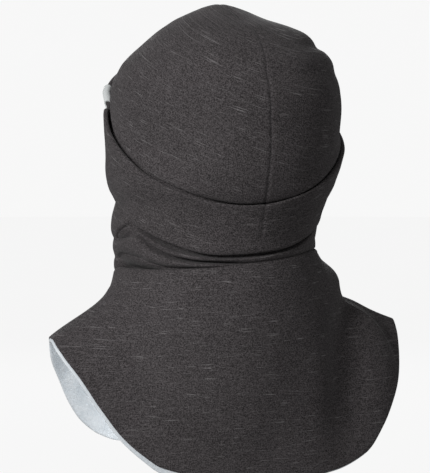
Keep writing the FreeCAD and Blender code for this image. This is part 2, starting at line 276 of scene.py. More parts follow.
def finish_mesh(name, bm, slot):
    """Makes the piece: a clean, smoothly shaded mesh with its material and slot."""
    bmesh.ops.remove_doubles(bm, verts=bm.verts, dist=2e-6)
    bmesh.ops.dissolve_degenerate(bm, edges=bm.edges, dist=1e-6)
    bmesh.ops.recalc_face_normals(bm, faces=bm.faces)
    for face in bm.faces:
        face.smooth = True
    for edge in bm.edges:
        edge.smooth = len(edge.link_faces) == 2 and edge.calc_face_angle(0) < SHARP_ANGLE
    mesh = bpy.data.meshes.new(name)
    bm.to_mesh(mesh)
    bm.free()
    mesh.materials.append(MATERIALS[slot])
    piece = bpy.data.objects.new(name, mesh)
    bpy.context.scene.collection.objects.link(piece)
    return piece


def add_grid(bm, points, grain, flip=False, wrap_rows=False):
    """Adds a grid of faces, with its grain as their UV map in metres. Returns its vertices."""
    layer = bm.loops.layers.uv.get("grain") or bm.loops.layers.uv.new("grain")
    rows, columns = points.shape[:2]
    verts = [[bm.verts.new(p) for p in row] for row in (points * MM).tolist()]
    marks = (grain * MM).tolist()
    for i in range(rows if wrap_rows else rows - 1):
        k = (i + 1) % rows
        for j in range(columns - 1):
            corners = [(i, j), (k, j), (k, j + 1), (i, j + 1)]
            if flip:
                corners.reverse()
            face = bm.faces.new([verts[r][c] for r, c in corners])
            for loop, (r, c) in zip(face.loops, corners):
                loop[layer].uv = marks[r][c]
    return verts


def bridge(bm, one, other):
    """Joins two rows of vertices with faces."""
    for a, b, c, d in zip(one, one[1:], other[1:], other):
        bm.faces.new((a, b, c, d))


def cloth(name, outer, inner, grain, slot, at_tip=False):
    """A layer of cloth from its face to its back. At the tip of the cap its first row is a single point."""
    bm = bmesh.new()
    face = add_grid(bm, outer, grain)
    back = add_grid(bm, inner, grain, flip=True)
    if not at_tip:
        bridge(bm, face[0], back[0])
    bridge(bm, [row[0] for row in back], [row[0] for row in face])
    bridge(bm, [row[-1] for row in face], [row[-1] for row in back])
    return finish_mesh(name, bm, slot)


def close_edge(piece):
    """Closes the open lower edge that a layer still has."""
    bm = bmesh.new()
    bm.from_mesh(piece.data)
    loose = [e for e in bm.edges if len(e.link_faces) == 1]
    if loose:
        bmesh.ops.holes_fill(bm, edges=loose, sides=0)
        bmesh.ops.recalc_face_normals(bm, faces=bm.faces)
    bm.to_mesh(piece.data)
    bm.free()


def halves(*grids):
    """The wearer's right and left halves of grids that go all the way round."""
    middle = grids[0].shape[1] // 2
    right = [g[:, : middle + 1] for g in grids]
    left = [g[:, middle:] for g in grids]
    return ("right", right), ("left", left)


# ---------------- materials


class Nodes:
    """A short way to write a material's nodes."""

    def __init__(self, name):
        self.material = bpy.data.materials.new(name)
        self.material.use_nodes = True
        self.tree = self.material.node_tree
        self.shader = self.tree.nodes["Principled BSDF"]

    def add(self, kind, settings=None, **inputs):
        node = self.tree.nodes.new(kind)
        for key, value in (settings or {}).items():
            setattr(node, key, value)
        for key, value in inputs.items():
            socket = node.inputs[int(key[1:])] if key[0] == "i" and key[1:].isdigit() else node.inputs[key]
            if isinstance(value, bpy.types.NodeSocket):
                self.tree.links.new(value, socket)
            else:
                socket.default_value = value
        return node

    def grain(self):
        """Place on the cloth in metres: along the knit's rows, and across them."""
        return self.add("ShaderNodeUVMap", {"uv_map": "grain"}).outputs[0]

    def solid(self):
        return self.add("ShaderNodeTexCoord").outputs["Object"]

    def math(self, operation, a, b):
        return self.add("ShaderNodeMath", {"operation": operation}, i0=a, i1=b).outputs[0]

    def total(self, first, *others):
        """Sum of (value, weight) pairs."""
        total = self.math("MULTIPLY", *first)
        for value, weight in others:
            total = self.math("ADD", total, self.math("MULTIPLY", value, weight))
        return total

    def noise(self, vector, scale, detail=2.0, roughness=0.5):
        node = self.add("ShaderNodeTexNoise", Vector=vector, Scale=scale, Detail=detail, Roughness=roughness)
        return node.outputs["Fac"]

    def streaks(self, grain, x, y, detail, roughness):
        """Noise with its own scale along and across the grain."""
        node = self.add("ShaderNodeVectorMath", {"operation": "MULTIPLY"}, i0=grain, i1=(x, y, 1.0))
        return self.noise(node.outputs[0], 1.0, detail, roughness)

    def wave(self, grain, scale, way="X", **inputs):
        node = self.add("ShaderNodeTexWave", {"bands_direction": way}, Vector=grain, Scale=scale, **inputs)
        return node.outputs["Fac"]

    def between(self, value, low, high):
        """0 below low, 1 above high, with a soft step between them."""
        node = self.add(
            "ShaderNodeMapRange", {"interpolation_type": "SMOOTHSTEP"}, Value=value,
            **{"From Min": low, "From Max": high},
        )
        return node.outputs[0]

    def mix(self, share, a, b):
        node = self.add("ShaderNodeMix", {"data_type": "RGBA"}, i0=share, i6=a, i7=b)
        return node.outputs[2]

    def set(self, **values):
        for key, value in values.items():
            socket = self.shader.inputs[key.replace("_", " ")]
            if isinstance(value, bpy.types.NodeSocket):
                self.tree.links.new(value, socket)
            else:
                socket.default_value = value

    def bump(self, height, strength, distance):
        node = self.add("ShaderNodeBump", Height=height, Strength=strength, Distance=distance)
        self.set(Normal=node.outputs[0])


def heather_knit():
    """Charcoal melange jersey: dark and pale fibres, a fine grid of loops, and sparse pale slubs."""
    n = Nodes("heather_knit")
    grain, solid = n.grain(), n.solid()
    fibres = n.noise(solid, 1150.0, 2.0, 0.7)
    rows = n.streaks(grain, 380.0, 1500.0, 2.0, 0.6)
    columns = n.streaks(grain, 1500.0, 520.0, 2.0, 0.6)
    cloudy = n.noise(solid, 38.0, 2.0, 0.5)
    speck = n.total((fibres, 0.56), (rows, 0.26), (columns, 0.18), (cloudy, 0.05))
    pale = n.between(speck, 0.42, 0.66)
    colour = n.mix(pale, (0.0185, 0.0165, 0.017, 1), (0.088, 0.0795, 0.082, 1))

    slub_lines = n.streaks(grain, 62.0, 2100.0, 0.0, 0.5)
    where = n.streaks(grain, 23.0, 310.0, 1.0, 0.5)
    slubs = n.math("MULTIPLY", n.between(slub_lines, 0.63, 0.80), n.between(where, 0.46, 0.66))
    strays = n.between(n.streaks(grain, 110.0, 2300.0, 1.0, 0.5), 0.58, 0.76)
    colour = n.mix(n.math("MULTIPLY", strays, 0.32), colour, (0.17, 0.16, 0.163, 1))
    colour = n.mix(n.math("MULTIPLY", slubs, 0.62), colour, (0.24, 0.23, 0.233, 1))

    wales = n.wave(grain, 175.0, Distortion=0.6, **{"Detail Scale": 2.0})
    n.bump(n.total((speck, 1.0), (wales, 0.12)), 0.55, 0.0006)
    n.set(Base_Color=colour, Roughness=0.93, Sheen_Weight=0.05, Sheen_Roughness=0.45, Specular_IOR_Level=0.12)
    return n.material


def brushed_fleece():
    """Pale grey fleece: a soft, slightly matted pile."""
    n = Nodes("brushed_fleece")
    solid = n.solid()
    shade = n.total((n.noise(solid, 520.0, 4.0, 0.7), 0.45), (n.noise(solid, 85.0, 3.0, 0.6), 0.55))
    colour = n.mix(n.between(shade, 0.3, 0.7), (0.52, 0.565, 0.60, 1), (0.67, 0.70, 0.725, 1))
    n.bump(shade, 0.9, 0.0012)
    n.set(Base_Color=colour, Roughness=0.96, Sheen_Weight=0.35, Sheen_Roughness=0.55, Specular_IOR_Level=0.1)
    return n.material


def sewing_thread():
    """Charcoal thread, a little shinier than the knit."""
    n = Nodes("sewing_thread")
    twist = n.noise(n.solid(), 1500.0, 1.0)
    colour = n.mix(n.between(twist, 0.3, 0.7), (0.030, 0.028, 0.029, 1), (0.062, 0.057, 0.059, 1))
    n.bump(twist, 0.4, 0.0002)
    n.set(Base_Color=colour, Roughness=0.6, Specular_IOR_Level=0.35)
    return n.material


def elastic_binding():
    """Folded elastic: fine ribs across its width, a little smoother than the knit."""
    n = Nodes("elastic_binding")
    ribs = n.wave(n.grain(), 230.0)
    fibres = n.noise(n.solid(), 1100.0, 2.0, 0.6)
    colour = n.mix(n.between(fibres, 0.3, 0.7), (0.024, 0.022, 0.023, 1), (0.058, 0.053, 0.055, 1))
    n.bump(n.math("ADD", ribs, fibres), 0.6, 0.00035)
    n.set(Base_Color=colour, Roughness=0.72, Sheen_Weight=0.08, Specular_IOR_Level=0.3)
    return n.material


def woven_tape():
    """Blank pale label tape, a close flat weave."""
    n = Nodes("woven_tape")
    grain = n.grain()
    weave = n.math("MULTIPLY", n.wave(grain, 420.0), n.wave(grain, 420.0, "Y"))
    colour = n.mix(weave, (0.48, 0.50, 0.50, 1), (0.64, 0.66, 0.655, 1))
    n.bump(weave, 0.4, 0.0002)
    n.set(Base_Color=colour, Roughness=0.7, Sheen_Weight=0.1, Specular_IOR_Level=0.3)
    return n.material


MATERIALS = {  # by slot
    "heather_knit": heather_knit(),
    "brushed_fleece": brushed_fleece(),
    "thread": sewing_thread(),
    "elastic_binding": elastic_binding(),
    "label_tape": woven_tape(),
}


def keep(piece, node):
    """A finished piece, which moves with the one body and stands for its CAD node."""
    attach(piece, "root")
    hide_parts(node)


def keep_layers(part, node, grids, at_tip=False, cutter=None):
    """Knit over fleece in two halves. grids holds each layer's face and back, and their grain."""
    for side, (face, back, top, soft, marks) in halves(*grids):
        for layer, outer, inner, slot, lining in (
            ("knit", face, back, "heather_knit", ""),
            ("fleece", top, soft, "brushed_fleece", "_lining"),
        ):
            piece = cloth(f"{part}_{layer}_{side}", outer, inner, marks, slot, at_tip)
            close_edge(piece)
            if cutter:
                cut_opening(piece, cutter)
            keep(piece, f"{node}{lining}_{side}")


# ---------------- cap

CAP_ROWS = (84, 26, 24)  # above the cuff's edge, near it, and under the cuff
EDGE_REACH = 4.0  # how far from the cuff's edge the rows count as near it
# How far the centre seam drifts off the centre, in degrees by height
SEAM_DRIFT = [(-62, -1.5), (-25, -0.4), (20, 1.1), (50, 2.3), (80, 2.4), (98, 0)]
# turn, height, spread in degrees, spread in height, how far the bump stands out
CAP_BUMPS = [
    (-63, 77, 26, 4.5, 0.9),
    (-60, 68, 26, 3.0, -1.9),
    (-66, 58, 30, 6, 0.6),
    (-78, 34, 20, 9, -0.9),
    (-40, 22, 26, 14, 0.9),
    (118, 84, 40, 7, 0.6),
    (70, 62, 30, 9, -0.7),
    (112, 22, 26, 13, -1.2),
    (45, 40, 34, 18, 0.8),
    (-150, 70, 30, 10, 1.5),
    (160, 74, 25, 9, -1.5),
]
CAP_TUCK, CAP_TUCK_REACH = 4.6, 34.0  # under the cuff the cap is pulled in towards its seam
CAP_GRAIN_TILT = (-0.263, 0.295)  # the knit's rows run downhill across the cap, along x and along y


def seam_groove(away, depth, half, ridge, ridge_at):
    """A seam's narrow groove, and the soft ridge that its hidden edges raise on both sides."""
    return ridge * np.exp(-(((away - ridge_at) / 1.8) ** 2)) - depth * np.exp(-((away / half) ** 2))


def cap_profile():
    """Distance from the tip down the form, and the height there, in steps that are finest at the tip."""
    share = np.linspace(0, 1, 4000)
    z = np.concatenate([RISE * (1 - share**2.6), np.linspace(0, -110, 2000)[1:]])
    wide, long, _, _ = form_level(z)
    mean = (wide + long) / 2
    steps = np.hypot(np.diff(mean), np.diff(z))
    return np.concatenate([[0], np.cumsum(steps)]), z


def cap_surface():
    """The cap's face, with its grain."""
    turn = ring_turns()
    length, height = cap_profile()
    reach = np.interp(-cap_seam(turn), -height, length)
    cuff = np.interp(-cuff_edge(turn), -height, length)
    stops = (0 * turn, cuff - EDGE_REACH, cuff + EDGE_REACH, reach)
    down = [a + (b - a) * np.arange(n)[:, None] / n for a, b, n in zip(stops, stops[1:], CAP_ROWS)]
    down = np.concatenate([*down, reach[None]])
    z = np.interp(down, length, height)
    points = on_form(turn + keyed(z, SEAM_DRIFT), z)
    out = normals(points)
    bump = add_bumps(turn, z, CAP_BUMPS)
    bump += 0.55 * wobble(points, 34, 3) + 0.25 * wobble(points, 15, 4)
    wide, long, _, _ = form_level(z)
    bump *= 1 - np.exp(-((wide / 16) ** 2))  # calm at the tip
    over = z - cuff_edge(turn)  # the cuff pinches a groove, and the cap swells just above it
    bump += 1.1 * np.exp(-(((over - 5) / 5) ** 2)) - 3.6 * np.exp(-(((over + 1.0) / 1.6) ** 2))
    bump -= CAP_TUCK * np.clip(1 - (z - cap_seam(turn)) / CAP_TUCK_REACH, 0, 1) ** 1.5
    seam = on_form(keyed(z, SEAM_DRIFT) + np.where(np.abs(turn) < 90, 0, 180), z)
    bump += seam_groove(np.abs(points[..., 0] - seam[..., 0]), 0.6, 0.9, 0.12, 3.4)
    points = points + out * bump[..., None]
    drop = z + CAP_GRAIN_TILT[1] * points[..., 1] + CAP_GRAIN_TILT[0] * points[..., 0]
    return points, grain_of(turn, (wide + long) / 2, drop)


def make_cap():
    points, grain = cap_surface()
    out = normals(points)
    out[0] = (0, 0, 1)
    back = points - KNIT * out
    smooth = points - (KNIT + LAYER_GAP) * out
    inside = points - (KNIT + FLEECE) * out
    keep_layers("cap", "crown", (points, back, smooth, inside, grain), at_tip=True)


# ---------------- cuff

CUFF_SIDE_ROWS = 44
CUFF_FOLD_ROWS = 8
CUFF_RADIUS = 91.0  # about half the cuff's width, for its grain
CUFF_SEAM_X = -1.0  # where its centre seams are
CUFF_HALF_THICK = [(0, 1.7), (0.15, 2.1), (0.8, 2.1), (1, 1.9)]  # by share of its height
# How far its face stands outside the straight form, by height, on each side
CUFF_STAND = {
    "back": [(-85, 1.4), (-75, 3.0), (-47, 4.3)],
    "left": [(-50, 1.8), (-38, 4.2), (-15, 3.9), (5, 5.2), (19, 5.8), (34, 7.2), (48, 6.5), (66, 0)],
    "front": [(-20, 1.5), (0, 4), (20, 5.0), (36, 5.0), (52, 2.0), (68, -7)],
    "right": [(-72, -0.4), (-60, 0.2), (-33, 1.6), (-19, 3.8), (-6, 5.2), (21, 3.6), (36, 3.0), (66, -5)],
}
TEMPLE_SLACK = 9.0  # it stands off at the label, over the wearer's left temple


def cuff_stand(turn, z):
    """How far the cuff's face stands outside the form."""
    sine, cosine = np.sin(np.radians(turn)), np.cos(np.radians(turn))
    shares = {"back": cosine > 0, "left": sine > 0, "front": cosine <= 0, "right": sine <= 0}
    stand = 0
    for side, keys in CUFF_STAND.items():
        share = (cosine if side in ("back", "front") else sine) ** 2
        stand = stand + shares[side] * share * keyed(z, keys)
    return stand + TEMPLE_SLACK * near(turn, 143, 18) * np.clip((z - 20) / 14, 0, 1)


def cuff_point(turn, share, side):
    """side is 1 on the cuff's face, -1 on its back and 0 in its middle; share runs up the cuff."""
    low, high = cap_seam(turn), cuff_edge(turn)
    z = low + (high - low) * share
    half = keyed(np.clip(share, 0, 1), CUFF_HALF_THICK)
    return on_form(turn, z, cuff_stand(turn, z) - half + side * half, straight=True)


def cuff_section(turn):
    """Rows all the way round the folded band: up its face, over the fold, down its back, under the seam."""
    tall = cuff_edge(turn) - cap_seam(turn)
    top, bottom = keyed(1, CUFF_HALF_THICK) / tall, keyed(0, CUFF_HALF_THICK) / tall
    rise = np.linspace(0, 1, CUFF_SIDE_ROWS)
    rows = [cuff_point(turn, bottom + (1 - bottom - top) * s, 1) for s in rise]
    for step in range(1, CUFF_FOLD_ROWS):
        a = math.pi * step / CUFF_FOLD_ROWS
        rows.append(cuff_point(turn, 1 - top + top * math.sin(a), math.cos(a)))
    rows += [cuff_point(turn, bottom + (1 - bottom - top) * s, -1) for s in rise[::-1]]
    for step in range(1, CUFF_FOLD_ROWS):
        a = math.pi * step / CUFF_FOLD_ROWS
        rows.append(cuff_point(turn, bottom - bottom * math.sin(a), -math.cos(a)))
    return np.array(rows)


def make_cuff():
    turn = ring_turns()
    points = cuff_section(turn)
    rows = len(points)
    outward = points - points.mean(0, keepdims=True)
    outward[..., 2] *= 0.3  # lumps push the cloth mostly level
    outward = unit(outward)
    lumps = 0.45 * wobble(points, 42, 11) + 0.16 * wobble(points, 14, 12)
    groove = seam_groove(np.abs(points[..., 0] - CUFF_SEAM_X), 0.5, 1.2, 0.1, 3.2)
    points = points + outward * (lumps + groove)[..., None]
    length = lengths(np.concatenate([points, points[:1]]), 0)[:rows]
    grain = grain_of(turn, CUFF_RADIUS, length)
    for side, (section, marks) in halves(points, grain):
        bm = bmesh.new()
        verts = add_grid(bm, section, marks, wrap_rows=True)
        bm.faces.new([row[0] for row in verts])
        bm.faces.new([row[-1] for row in verts][::-1])
        keep(finish_mesh(f"cuff_band_{side}", bm, "heather_knit"), f"cuff_{side}")


# ---------------- neck tube

NECK_ROWS = 110
NECK_RADIUS = 80.0  # for its grain
NECK_LAP, NECK_LAP_FADE = 5.0, 6.0  # it goes up under the cuff, and lies flat there
BIB_LAP, BIB_LAP_FADE = 0.6, 3.2  # its lower edge stops above the neckline, and is tucked in
# Rolls of slack cloth: turn, height of the middle, half height, how far it stands out
NECK_ROLLS = [
    # the roll right under the cuff
    [(-180, -24, 9, 0.5), (-110, -44, 9, 0.2), (-58, -71, 9, -0.4), (-30, -80, 6, 0.6), (5, -84.8, 3.6, 1.2),
     (20, -84.7, 2.8, 1.5), (30, -84.4, 2.6, 1.7), (42, -82.4, 2.6, 1.9), (54, -77, 3.1, 1.9),
     (61, -72.5, 3.1, 1.6), (69, -67, 2.5, 1.0), (76, -61.8, 1.3, -0.6), (84, -56, 2, -6), (130, -40, 3, -6)],
    # the fold from the front, which ends below the wearer's left ear
    [(-180, -20, 4, -8), (70, -60, 4, -8), (78, -60, 6, -4.6), (81, -60.5, 9, -1), (86, -61, 11.5, 1.0),
     (92, -61, 13, 2.2), (100, -60.5, 15, 3.0), (116, -60.5, 18, 3.8), (135, -57, 16, 3.2),
     (155, -50, 12, 0)],
    # the low roll at the left and behind, over the bib
    [(-180, -124, 8, -5), (-120, -96, 6, -4), (-60, -84, 4, -4), (-20, -89, 2.6, -3), (10, -90.2, 2.0, -0.4),
     (30, -89.6, 2.2, 1.4), (48, -88, 3.9, 1.9), (61, -83.4, 6.0, 2.1), (73, -77.8, 8.0, 1.8),
     (80, -78.0, 6.6, 1.3),
     (89, -79, 5.4, 0.9), (103, -80, 8, 0.9), (116, -82, 11, 1.0), (130, -88, 12, 0.6), (155, -110, 10, -2)],
    # slack under the chin and at the right
    [(-180, -126, 11, 1.4), (-150, -118, 12, 1.6), (-115, -84, 18, 1.0), (-85, -76, 12, 0.4),
     (-58, -80, 7, -1.4), (-30, -86, 4, -3.6), (30, -92, 4, -9), (98, -97, 3, -6), (112, -95, 8, 0.2),
     (125, -97, 10, 1.0), (150, -116, 12, 1.2)],
]
# Sharp creases cut into the slack: turn, height, half width, depth
NECK_CREASES = [
    [(-180, -70, 1, 0), (5, -87.0, 0.9, 0), (16, -87.6, 0.9, 2.5), (30, -87.1, 0.95, 4.5),
     (42, -85.3, 1.1, 5.0), (54, -80.9, 1.2, 5.0), (61, -76.9, 1.3, 4.0), (69, -71.0, 1.3, 2.0),
     (77, -65.0, 1.2, 0)],
    [(-180, -70, 1, 0), (79, -61.5, 0.8, 0), (83, -63.4, 0.8, 3.0), (92, -69.0, 0.8, 3.5),
     (99, -74.5, 0.8, 2.5), (106, -78, 0.8, 0)],
]
# The crease right under the cuff's edge: turn, depth
UNDER_CUFF = [(-180, 0), (-78, 0), (-60, 2.5), (-40, 4.0), (0, 5.0), (58, 5.5), (70, 3.0), (82, 0)]
# A hollow under the low roll at the left: turn, height where it begins, how deep it gets
HOLLOW = [(-180, -92, 0), (48, -90, 0), (57, -89.5, 4), (70, -87.0, 12), (83, -83.5, 16), (98, -81.5, 16),
          (108, -81.5, 11), (119, -84, 0)]
ROLL_FLOOR = -4.6  # how far outside the form the cloth lies between rolls
CREASE_FLOOR = -6.0  # and in the sharp creases
ROLL_BLEND = 0.4  # rolls run into one another over about this height
NECK_TUCK = -3.4  # how far outside the form its lower edge is, inside the roll at the bib's top


def neck_out(turn, z):
    """How far the slack neck stands outside the form: the outermost roll, softly joined at the creases."""
    total = np.exp(np.broadcast_to(ROLL_FLOOR / ROLL_BLEND, z.shape))
    for roll in NECK_ROLLS:
        middle, half, out = (around(turn, [(k[0], k[i]) for k in roll]) for i in (1, 2, 3))
        off = np.clip(np.abs(z - middle) / half, 0, 1)
        height = (out - ROLL_FLOOR) * np.sqrt(np.maximum(1 - off**2.2, 0)) + ROLL_FLOOR
        total = total + np.exp(np.maximum(height, -12) / ROLL_BLEND)
    out = ROLL_BLEND * np.log(total)
    for crease in NECK_CREASES:
        middle, half, depth = (around(turn, [(k[0], k[i]) for k in crease]) for i in (1, 2, 3))
        out = out - depth * np.exp(-(((z - middle) / half) ** 4))
    out = out - around(turn, UNDER_CUFF) * np.exp(-(((z - cap_seam(turn) + 1.5) / 1.3) ** 4))
    out = np.maximum(out, CREASE_FLOOR)
    begins, depth = (around(turn, [(k[0], k[i]) for k in HOLLOW]) for i in (1, 2))
    fall = np.clip((begins - z) / np.maximum(begins - neckline(turn) - 2.4, 1.0), 0, 1)
    return out - depth * (1 - np.sqrt(1 - fall**2))


def neck_surface():
    """The neck's face: turn and height of its grid, how far it is outside the form, points and grain."""
    turn = ring_turns()
    top, low = cap_seam(turn) + NECK_LAP, neckline(turn) + BIB_LAP
    share = np.linspace(0, 1, NECK_ROWS + 1)[:, None]
    z = top + (low - top) * share
    out = neck_out(turn, z)
    tuck = np.clip((z - low) / BIB_LAP_FADE, 0, 1)
    out = NECK_TUCK + (out - NECK_TUCK) * np.sqrt(tuck)
    under_cuff = np.clip((top - z) / NECK_LAP_FADE, 0, 1)
    out = ROLL_FLOOR + (out - ROLL_FLOOR) * under_cuff
    points = on_form(turn, z, out)
    lumps = 0.35 * wobble(points, 26, 21) + 0.12 * wobble(points, 10, 22)
    points = points + normals(points) * (lumps * under_cuff * tuck)[..., None]
    return turn, z, out, points, grain_of(turn, NECK_RADIUS, lengths(points, 0))


FACE_LOW, FACE_HIGH = edges("face_binding")
FACE_HALF = (FACE_HIGH[[0, 2]] - FACE_LOW[[0, 2]]) / 2
FACE_Z = (FACE_HIGH[2] + FACE_LOW[2]) / 2


def face_cutter():
    """A long oval block through the front of the neck, as wide as the cut edge of the face opening."""
    bm = bmesh.new()
    around_oval = 96
    rings = []
    for y in (-240.0, -20.0):
        ring = []
        for step in range(around_oval):
            a = 2 * math.pi * step / around_oval
            x, z = FACE_HALF[0] * math.cos(a), FACE_Z + FACE_HALF[1] * math.sin(a)
            ring.append(bm.verts.new(Vector((x, y, z)) * MM))
        rings.append(ring)
    bridge(bm, rings[0] + rings[0][:1], rings[1] + rings[1][:1])
    bm.faces.new(rings[0][::-1])
    bm.faces.new(rings[1])
    bmesh.ops.recalc_face_normals(bm, faces=bm.faces)
    mesh = bpy.data.meshes.new("face_cutter")
    bm.to_mesh(mesh)
    bm.free()
    cutter = bpy.data.objects.new("face_cutter", mesh)
    bpy.context.scene.collection.objects.link(cutter)
    return cutter


def cut_opening(piece, cutter):
    """Cuts the face opening into a piece."""
    modifier = piece.modifiers.new("face", "BOOLEAN")
    modifier.operation = "DIFFERENCE"
    modifier.solver = "EXACT"
    modifier.object = cutter
    graph = bpy.context.evaluated_depsgraph_get()
    mesh = bpy.data.meshes.new_from_object(piece.evaluated_get(graph))
    piece.modifiers.clear()
    piece.data = mesh


def make_neck():
    turn, z, out, points, grain = neck_surface()
    level = np.stack([np.sin(np.radians(turn)), np.cos(np.radians(turn)), 0 * turn], axis=-1)
    back = points - KNIT * level
    plain = points - (KNIT + LAYER_GAP) * level
    # The fleece's inner face follows the rolls less than the knit does, and stays inside it in the creases
    deep = np.minimum(out * 0.4 - 3.0, out - KNIT - 0.7 * FLEECE)
    inside = on_form(turn, z, deep - 0.6)
    cutter = face_cutter()
    keep_layers("neck", "neck", (points, back, plain, inside, grain), cutter=cutter)
    bpy.data.objects.remove(cutter)


# ---------------- bib

BIB_ROWS = 96
BIB_RADIUS = 118.0  # for its grain
LIP = 2.6  # radius of the soft roll at the bib's top
BIB_TURN = -5.0  # the cloth is turned this far from the head, in degrees
TWIST = 8.0  # and the shoulders under it are turned this far
# The hem seen from above: half its width and depth, how square it is, and where its centre has moved
HEM_WIDE, HEM_DEPTH = SPAN - 3.0, 66.0
HEM_SQUARE = 2.6
BIB_SHIFT = np.array([-4.6, 0.0])
# The hem's height, by turn
HEM = [(-180, -237), (-145, -231), (-125, -214), (-110, -188), (-100, -160), (-92, -143), (-86, -138.5),
       (-81, -146), (-77, -159), (-73, -175), (-66.5, -194.5), (-61, -213), (-54, -231), (-41, -242),
       (-20, -247), (7, -247.6), (25, -244.5), (46, -236), (53, -226.7), (59.5, -213.8), (66, -194),
       (72.5, -172.6), (77, -162), (82, -152.9), (88, -146.5), (93, -146.5), (98, -150), (102, -163),
       (108, -180), (113, -199.7), (117.5, -214), (124, -226), (131, -232), (155, -237)]
# How far outside the form the bib begins, by turn
BIB_TOP = [(-100, 0.8), (-80, -1.0), (-50, 1.4), (0, 0.6), (60, -0.2), (116, 0.4), (180, 0.6)]
# Its lines' lean out from straight down, in degrees, at the neck and at the hem, and how strong each is
BIB_START = [(-135, 16), (-85, 22), (-45, 18), (0, 16), (45, 20), (85, 6.5), (135, 16), (180, 12)]
BIB_END = [(-135, 8), (-95, 56), (-85, 70), (-70, 8), (-45, 0), (0, -16), (45, 2), (70, 30), (85, 68),
           (100, 40), (135, 8), (180, -14)]
LEAVE = [(-85, 1.21), (-45, 1.0), (0, 1.0), (85, 0.98), (180, 1.0)]
ARRIVE = [(-95, 0.9), (-85, 0.72), (-70, 1.5), (-45, 1.2), (0, 1.0), (70, 1.0), (85, 0.75), (180, 1.0)]
# How far the fleece hangs below the knit, by turn
LINING_SHOWS = [(-180, 1.0), (-60, 0.5), (-20, 0.9), (20, 2.0), (44, 4.0), (56, 2.8), (75, 1.6), (90, 1.0)]
# turn, share of the way down, spread in degrees, spread in share, how far the bump stands out
BIB_BUMPS = [
    (-82, 0.11, 26, 0.27, 11.5),
    (-80, 0.38, 22, 0.145, -7.3),
    (-62, 0.98, 12, 0.22, -3.0),
    (-49, 0.68, 10, 0.30, -8.0),
    (-60, 0.36, 13, 0.12, -3.5),
    (-31, 0.74, 10, 0.26, 1.8),
    (88, 0.16, 18, 0.10, 1.6),
    (30, 0.55, 26, 0.30, 1.5),
    (140, 0.5, 16, 0.3, 4.0),
    (165, 0.6, 12, 0.3, -3.0),
    (-150, 0.6, 16, 0.3, 4.0),
    (-125, 0.5, 12, 0.25, -3.0),
]


def bib_turns():
    """Turns from -180 to 180, closer together at the shoulders."""
    even = np.linspace(-math.pi, math.pi, 2 * HALF + 1)
    return np.degrees(even + 0.27 * np.sin(2 * even))


def hem_radius(angle):
    """Distance of the hem from the neck's centre, seen from above, as a rounded rectangle."""
    low, high = np.zeros_like(angle), np.full_like(angle, SPAN * 2)
    for _ in range(40):
        radius = (low + high) / 2
        x = np.abs(radius * np.sin(angle)) / HEM_WIDE
        y = np.abs(radius * np.cos(angle) + NECK_Y) / HEM_DEPTH
        inside = x**HEM_SQUARE + y**HEM_SQUARE < 1
        low, high = np.where(inside, radius, low), np.where(inside, high, radius)
    return low


def bib_surface(past_hem=False):
    """The bib's face, with its grain. Past the hem it goes on as far as the lining shows."""
    turn = bib_turns()
    angle = np.radians(turn + BIB_TURN)
    start = on_form(turn + BIB_TURN, neckline(turn + BIB_TURN), around(turn, BIB_TOP))
    radius, z = hem_radius(angle), around(turn, HEM)
    twisted = angle + math.radians(TWIST)
    centre = np.array([0, NECK_Y]) + BIB_SHIFT
    end = np.stack([centre[0] + radius * np.sin(twisted), centre[1] + radius * np.cos(twisted), z], axis=-1)
    reach = np.linalg.norm(end - start, axis=-1)

    def heading(keys, pulls, way):
        lean = np.radians(around(turn, keys))
        unit = np.stack([np.sin(lean) * np.sin(way), np.sin(lean) * np.cos(way), -np.cos(lean)], axis=-1)
        return unit * (reach * around(turn, pulls))[:, None]

    leave, arrive = heading(BIB_START, LEAVE, angle), heading(BIB_END, ARRIVE, twisted)
    extra = around(turn, LINING_SHOWS) / np.linalg.norm(arrive, axis=-1) if past_hem else 0 * turn
    t = (np.linspace(0, 1, BIB_ROWS + 1)[:, None] * (1 + extra))[..., None]
    points = (
        start * (2 * t**3 - 3 * t**2 + 1)
        + leave * (t**3 - 2 * t**2 + t)
        + end * (3 * t**2 - 2 * t**3)
        + arrive * (t**3 - t**2)
    )
    share = t[..., 0]
    bump = add_bumps(turn, share, BIB_BUMPS)
    bump = bump + 0.8 * wobble(points, 60, 31) + 0.3 * wobble(points, 22, 32)
    points = points + normals(points) * (bump * np.clip(share * 4, 0, 1))[..., None]
    way = np.stack([np.sin(angle), np.cos(angle), 0 * angle], axis=-1)
    lip = []
    for degrees in range(-45, 90, 15):
        a = math.radians(degrees)
        lip.append(start + LIP * ((math.sin(a) - 1) * way + math.cos(a) * np.array([0, 0, 1])))
    points = np.concatenate([lip, points])
    return points, grain_of(turn, BIB_RADIUS, points[..., 2])


def make_bib():
    """Returns the knit's face and the directions out of it, for the stitches over the shoulders."""
    points, grain = bib_surface()
    out = normals(points)
    under = points - KNIT * out
    longer, marks = bib_surface(past_hem=True)
    away = normals(longer)
    top = longer - (KNIT + LAYER_GAP) * away
    soft = longer - (KNIT + FLEECE) * away
    quarter = HALF // 2
    face, back, face_marks = round_off(points, under, grain)
    over, soft, marks = round_off(top, soft, marks)

    def lobe(grid, name):
        """The columns of one lobe, from shoulder to shoulder, across the grid's ends in front."""
        if name == "back":
            return grid[:, quarter : 3 * quarter + 1]
        return np.concatenate([grid[:, 3 * quarter :], grid[:, 1 : quarter + 1]], axis=1)

    for name in ("back", "front"):
        layer = [lobe(g, name) for g in (face, back, face_marks)]
        keep(cloth(f"bib_knit_{name}", *layer, "heather_knit"), f"bib_{name}")
        layer = [lobe(g, name) for g in (over, soft, marks)]
        keep(cloth(f"bib_fleece_{name}", *layer, "brushed_fleece"), f"bib_{name}_lining")
    return points, out


# ---------------- stitches, binding and labels

STITCH_LONG, STITCH_STEP, STITCH_THICK = 2.4, 3.1, 0.46
